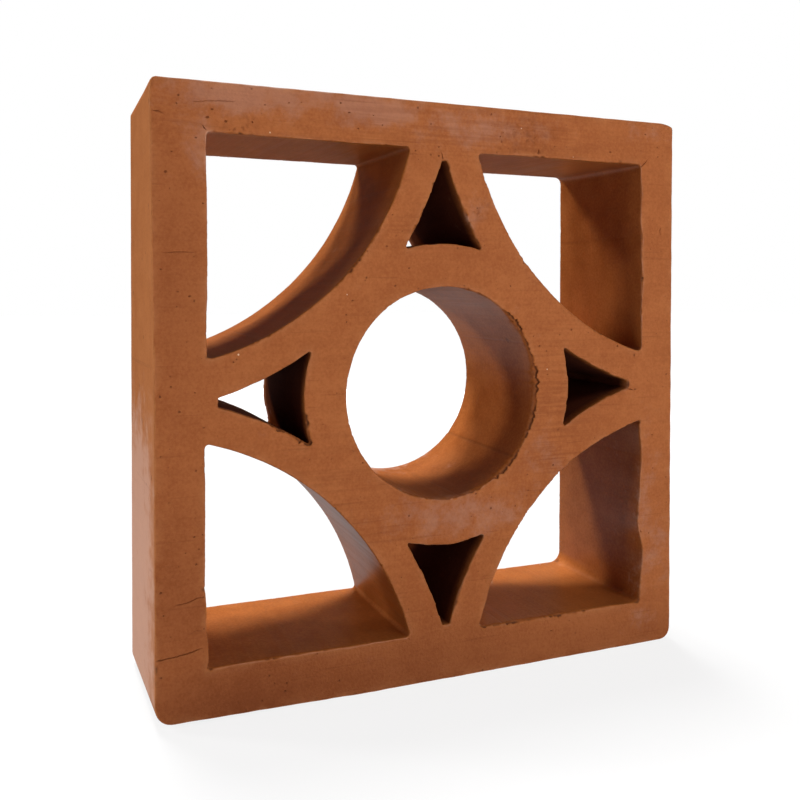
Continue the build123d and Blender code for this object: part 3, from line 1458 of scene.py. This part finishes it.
# %% [markdown]
# ## The finish of the cut faces
#
# The wire left an open, dull skin. It takes the clay's body, darkens it with painted shade
# towards the bed and the ends, lays bloom and painted sheen on it and then wears it. The bumps
# are the grit with level drag lines. Only the strength of the reflection is one number, so it is
# set on the shader itself.

# %% Cut face finish
line_colour = (0.2, 0.05, 0.015, 1)


def start_finish(name, specular):
    """A material with a Principled shader, and the shader's sockets."""
    finish = bpy.data.materials.new(name)
    finish.use_nodes = True
    shader = finish.node_tree.nodes["Principled BSDF"]
    shader.inputs["Specular IOR Level"].default_value = specular
    mesh.materials.append(finish)
    return Nodes(finish.node_tree), shader.inputs


nodes, shader = start_finish("cut_face", 0.15)
body = nodes.group(
    body_group,
    Pale_Clay=(0.46, 0.147, 0.047, 1),
    Deep_Clay=(0.36, 0.10, 0.027, 1),
    Contrast=1.2,
)
grit = nodes.group(grit_group, Cells_Per_Metre=380.0, Share_Of_Cells=0.4)
level_lines = nodes.group(lines_group, Stretch=Vector((36.0, 10.0, 900.0)))
# Painted shade: the clay is darkened towards the bed and the ends.
with_painted_shade = nodes.mix(nodes.mark("painted_shade"), body["Color"], (0.50, 0.41, 0.42, 1), "MULTIPLY")
with_bloom_and_sheen = nodes.group(bloom_group, Clay=with_painted_shade, Salt=(0.50, 0.27, 0.20, 1), Cover=0.36)
worn = nodes.group(
    wear_group,
    Clay=with_bloom_and_sheen["Color"],
    Raw_Clay=(0.42, 0.125, 0.03, 1),
    Rubbed_Clay=(0.55, 0.22, 0.09, 1),
    Pit=(0.20, 0.055, 0.017, 1),
    Lime=(0.85, 0.62, 0.42, 1),
    Rubbed_Share=0.35,
)
colour = nodes.lay(grit["Pin Holes"], 0.7, worn["Color"], (0.14, 0.035, 0.011, 1))
colour = nodes.lay(grit["Pale Grains"], 0.4, colour, (0.7, 0.4, 0.22, 1))
colour = nodes.lay(level_lines["Lines"], 0.2, colour, line_colour)
streaks = nodes.step(level_lines["Height"], 0.62, 0.36)
dragged = nodes.step(nodes.mark("dragged"), 0.0, 1.0, 0.08, 0.34)
nodes.feed(shader["Base Color"], nodes.lay(streaks, dragged, colour, line_colour))
nodes.feed(shader["Roughness"], nodes.step(body["Clouds"], 0.0, 1.0, 0.78, 0.92))
height = nodes.plus(grit["Height"], nodes.times(level_lines["Height"], 0.45))
nodes.feed(shader["Normal"], nodes.bump(height, 0.0003))
print("cut_face has", len(nodes.tree.nodes), "nodes")

# %% [markdown]
# ## The finish of the walls
#
# The die pressed the walls smooth, so they shine a little and keep lines along the depth.
# Inside the openings the clay is painted deeper and redder than on the block's outer sides, and
# deepest in the narrow ones; both are painted shade. The mesh's marks tell which is which.
# The same groups are placed again with values of their own.

# %% Die skin finish
nodes, shader = start_finish("die_skin", 0.24)
outer = nodes.group(
    body_group, Pale_Clay=(0.43, 0.15, 0.045, 1), Deep_Clay=(0.34, 0.105, 0.026, 1)
)
# Painted shade: the clay inside the openings is darker and redder than outside.
inner = nodes.group(
    body_group, Pale_Clay=(0.41, 0.130, 0.032, 1), Deep_Clay=(0.28, 0.074, 0.013, 1)
)
open_skin = nodes.mix(nodes.mark("inside"), outer["Color"], inner["Color"])
# Painted shade: the small openings darken further in.
skin_with_narrow_shade = nodes.mix(nodes.mark("painted_narrow_shade"), open_skin, (0.30, 0.20, 0.16, 1), "MULTIPLY")
grit = nodes.group(grit_group, Cells_Per_Metre=120.0, Share_Of_Cells=0.16)
depth_lines = nodes.group(lines_group, Stretch=Vector((420.0, 6.0, 420.0)))
# On the left end's lower half this lays the painted reflection of the floor.
with_bloom_and_sheen = nodes.group(bloom_group, Clay=skin_with_narrow_shade, Salt=(0.62, 0.385, 0.30, 1), Cover=0.5)
worn = nodes.group(
    wear_group,
    Clay=with_bloom_and_sheen["Color"],
    Raw_Clay=(0.42, 0.12, 0.03, 1),
    Rubbed_Clay=(0.5, 0.17, 0.06, 1),
    Pit=(0.03, 0.008, 0.004, 1),
    Lime=(0.8, 0.6, 0.45, 1),
    Rubbed_Share=0.25,
)
colour = nodes.lay(grit["Pin Holes"], 0.5, worn["Color"], (0.07, 0.018, 0.007, 1))
colour = nodes.lay(depth_lines["Lines"], 0.1, colour, (0.12, 0.03, 0.01, 1))
nodes.feed(shader["Base Color"], colour)
smooth = nodes.step(depth_lines["Height"], 0.25, 0.75, 0.3, 0.38)
smooth = nodes.step(nodes.mark("inside"), 0.0, 1.0, 0.55, smooth)
dull = nodes.math("MAXIMUM", worn["Torn"], nodes.mark("painted_narrow_shade"))
nodes.feed(shader["Roughness"], nodes.step(dull, 0.0, 1.0, smooth, 0.9))
height = nodes.plus(depth_lines["Height"], nodes.times(grit["Height"], 0.35))
nodes.feed(shader["Normal"], nodes.bump(height, 0.00008))
print("die_skin has", len(nodes.tree.nodes), "nodes")

# %% [markdown]
# ## The background
#
# The block stands in a plain white studio. The camera sees the surroundings as pure white,
# while the light that they give off is much weaker, so the insides of the openings stay as
# dark as they should be. In the smooth die skin the sky overhead shows a faint reflection,
# and near the horizon there is hardly any.

# %% White surroundings
world_light = 0.025
horizon_gloss = 0.01
sky_gloss = 0.07
horizon_top = 0.05
sky_foot = 0.5


def seen_by(nodes, *rays):
    """One where any of the named kinds of ray looks, and zero elsewhere."""
    light_path = nodes.add("LightPath").outputs
    seen = light_path[rays[0]]
    for ray in rays[1:]:
        seen = nodes.math("MAXIMUM", seen, light_path[ray])
    return seen


world = bpy.data.worlds.new("studio")
scene.world = world
world.use_nodes = True
nodes = Nodes(world.node_tree)
background = world.node_tree.nodes["Background"].inputs
background["Color"].default_value = (1, 1, 1, 1)
direction = nodes.add("SeparateXYZ", {"Vector": nodes.add("TexCoord").outputs["Generated"]})
gloss = nodes.step(
    direction.outputs["Z"], horizon_top, sky_foot, horizon_gloss, sky_gloss
)
glossy_only = nodes.times(gloss, seen_by(nodes, "Is Glossy Ray", "Is Transmission Ray"))
shown = nodes.math("MAXIMUM", glossy_only, seen_by(nodes, "Is Camera Ray"))
nodes.feed(background["Strength"], nodes.math("MAXIMUM", shown, world_light))
print("the surroundings give", world_light, "of the light that they show")

# %% [markdown]
# ## The floor
#
# The floor is a wide sheet of pale paper. It is grey for the light that it throws up, and it
# glows for the camera, so that it reads as white and still keeps a soft shadow beside the
# block. Near the block its reflection in the die skin is bright, and farther off it is dark.

# %% Floor
floor_reach = 6.0
paper_tone = 0.25
paper_glow = 0.5
glow_strength = 1.68
pool_level = 0.55
pool_inner = 0.2
pool_outer = 0.6
floor_corners = [(-1, -1, 0), (1, -1, 0), (1, 1, 0), (-1, 1, 0)]
floor_mesh = bpy.data.meshes.new("floor")
floor_mesh.from_pydata([Vector(c) * floor_reach for c in floor_corners], [], [(0, 1, 2, 3)])
floor = bpy.data.objects.new("floor", floor_mesh)
scene.collection.objects.link(floor)
paper = bpy.data.materials.new("floor_paper")
paper.use_nodes = True
paper.node_tree.nodes.clear()
nodes = Nodes(paper.node_tree)
from_block = nodes.add("VectorMath", {0: nodes.place()}, operation="LENGTH").outputs["Value"]
pool = nodes.step(from_block, pool_inner, pool_outer, pool_level, horizon_gloss)
watched = seen_by(nodes, "Is Camera Ray")
mirrored = seen_by(nodes, "Is Glossy Ray", "Is Transmission Ray")
strength = nodes.math("MAXIMUM", nodes.times(watched, glow_strength), pool)
share = nodes.math("MAXIMUM", nodes.times(watched, paper_glow), mirrored)
diffuse = nodes.add("BsdfDiffuse", {"Color": (paper_tone, paper_tone, paper_tone, 1)})
glow = nodes.add("Emission", {"Strength": strength})
lit = nodes.add("MixShader", {"Fac": share, 1: diffuse.outputs[0], 2: glow.outputs[0]})
nodes.add("OutputMaterial", {"Surface": lit.outputs[0]})
floor_mesh.materials.append(paper)
print("the floor reaches", floor_reach, "m each way")

# %% [markdown]
# ## The lamps
#
# Two lamps stand behind: one is high and lights the floors of the openings and the top, and
# one is low on the left and draws a slanting edge of light on the right-hand walls. Two soft
# boxes in front, a little to the right, light the near face and the front of the floors, one
# fills the left end and one, low behind, lifts the ceilings of the openings. A lamp's level is
# the share of its own colour that a surface square to it shows. The two low lights behind
# stand for broad, dull walls, so they are kept out of the reflections.

# %% Lamps
aim_point = Vector((0.0, 0.0, 0.11))


def add_lamp(name, kind, travel, energy, glints, **shape):
    """A lamp whose light travels along a direction."""
    data = bpy.data.lights.new(name, kind)
    data.energy = energy
    for setting, value in shape.items():
        setattr(data, setting, value)
    lamp = bpy.data.objects.new(name, data)
    lamp.rotation_mode = "QUATERNION"
    lamp.rotation_quaternion = travel.to_track_quat("-Z", "Y")
    lamp.visible_glossy = glints
    scene.collection.objects.link(lamp)
    return lamp


def distant_lamp(name, travel, level, softness, glints):
    """A lamp far away, whose light travels along a direction."""
    angle = math.radians(softness)
    return add_lamp(name, "SUN", Vector(travel), level * math.pi, glints, angle=angle)


def soft_box(name, place, wide, high, level, glints):
    """A flat box of light, aimed at the block's middle."""
    travel = aim_point - Vector(place)
    energy = level * math.pi**2 * travel.length_squared
    size = {"shape": "RECTANGLE", "size": wide, "size_y": high}
    lamp = add_lamp(name, "AREA", travel, energy, glints, **size)
    lamp.location = place
    return lamp


distant_lamp("high_back_lamp", (0.1, -1.0, -3.5), 1.35, 17.0, True)
distant_lamp("left_back_lamp", (1.8, -1.0, -1.13), 0.4, 9.0, False)
soft_box("front_soft_box", (0.3, -0.86, 0.05), 0.5, 0.4, 0.88, True)
soft_box("high_front_soft_box", (0.3, -0.8, 0.95), 0.6, 0.4, 0.17, True)
soft_box("left_soft_box", (-1.0, 0.0, 0.3), 0.4, 0.4, 0.42, True)
soft_box("low_back_soft_box", (0.4, 0.75, 0.03), 0.5, 0.3, 1.85, False)
scene.view_settings.view_transform = "Standard"
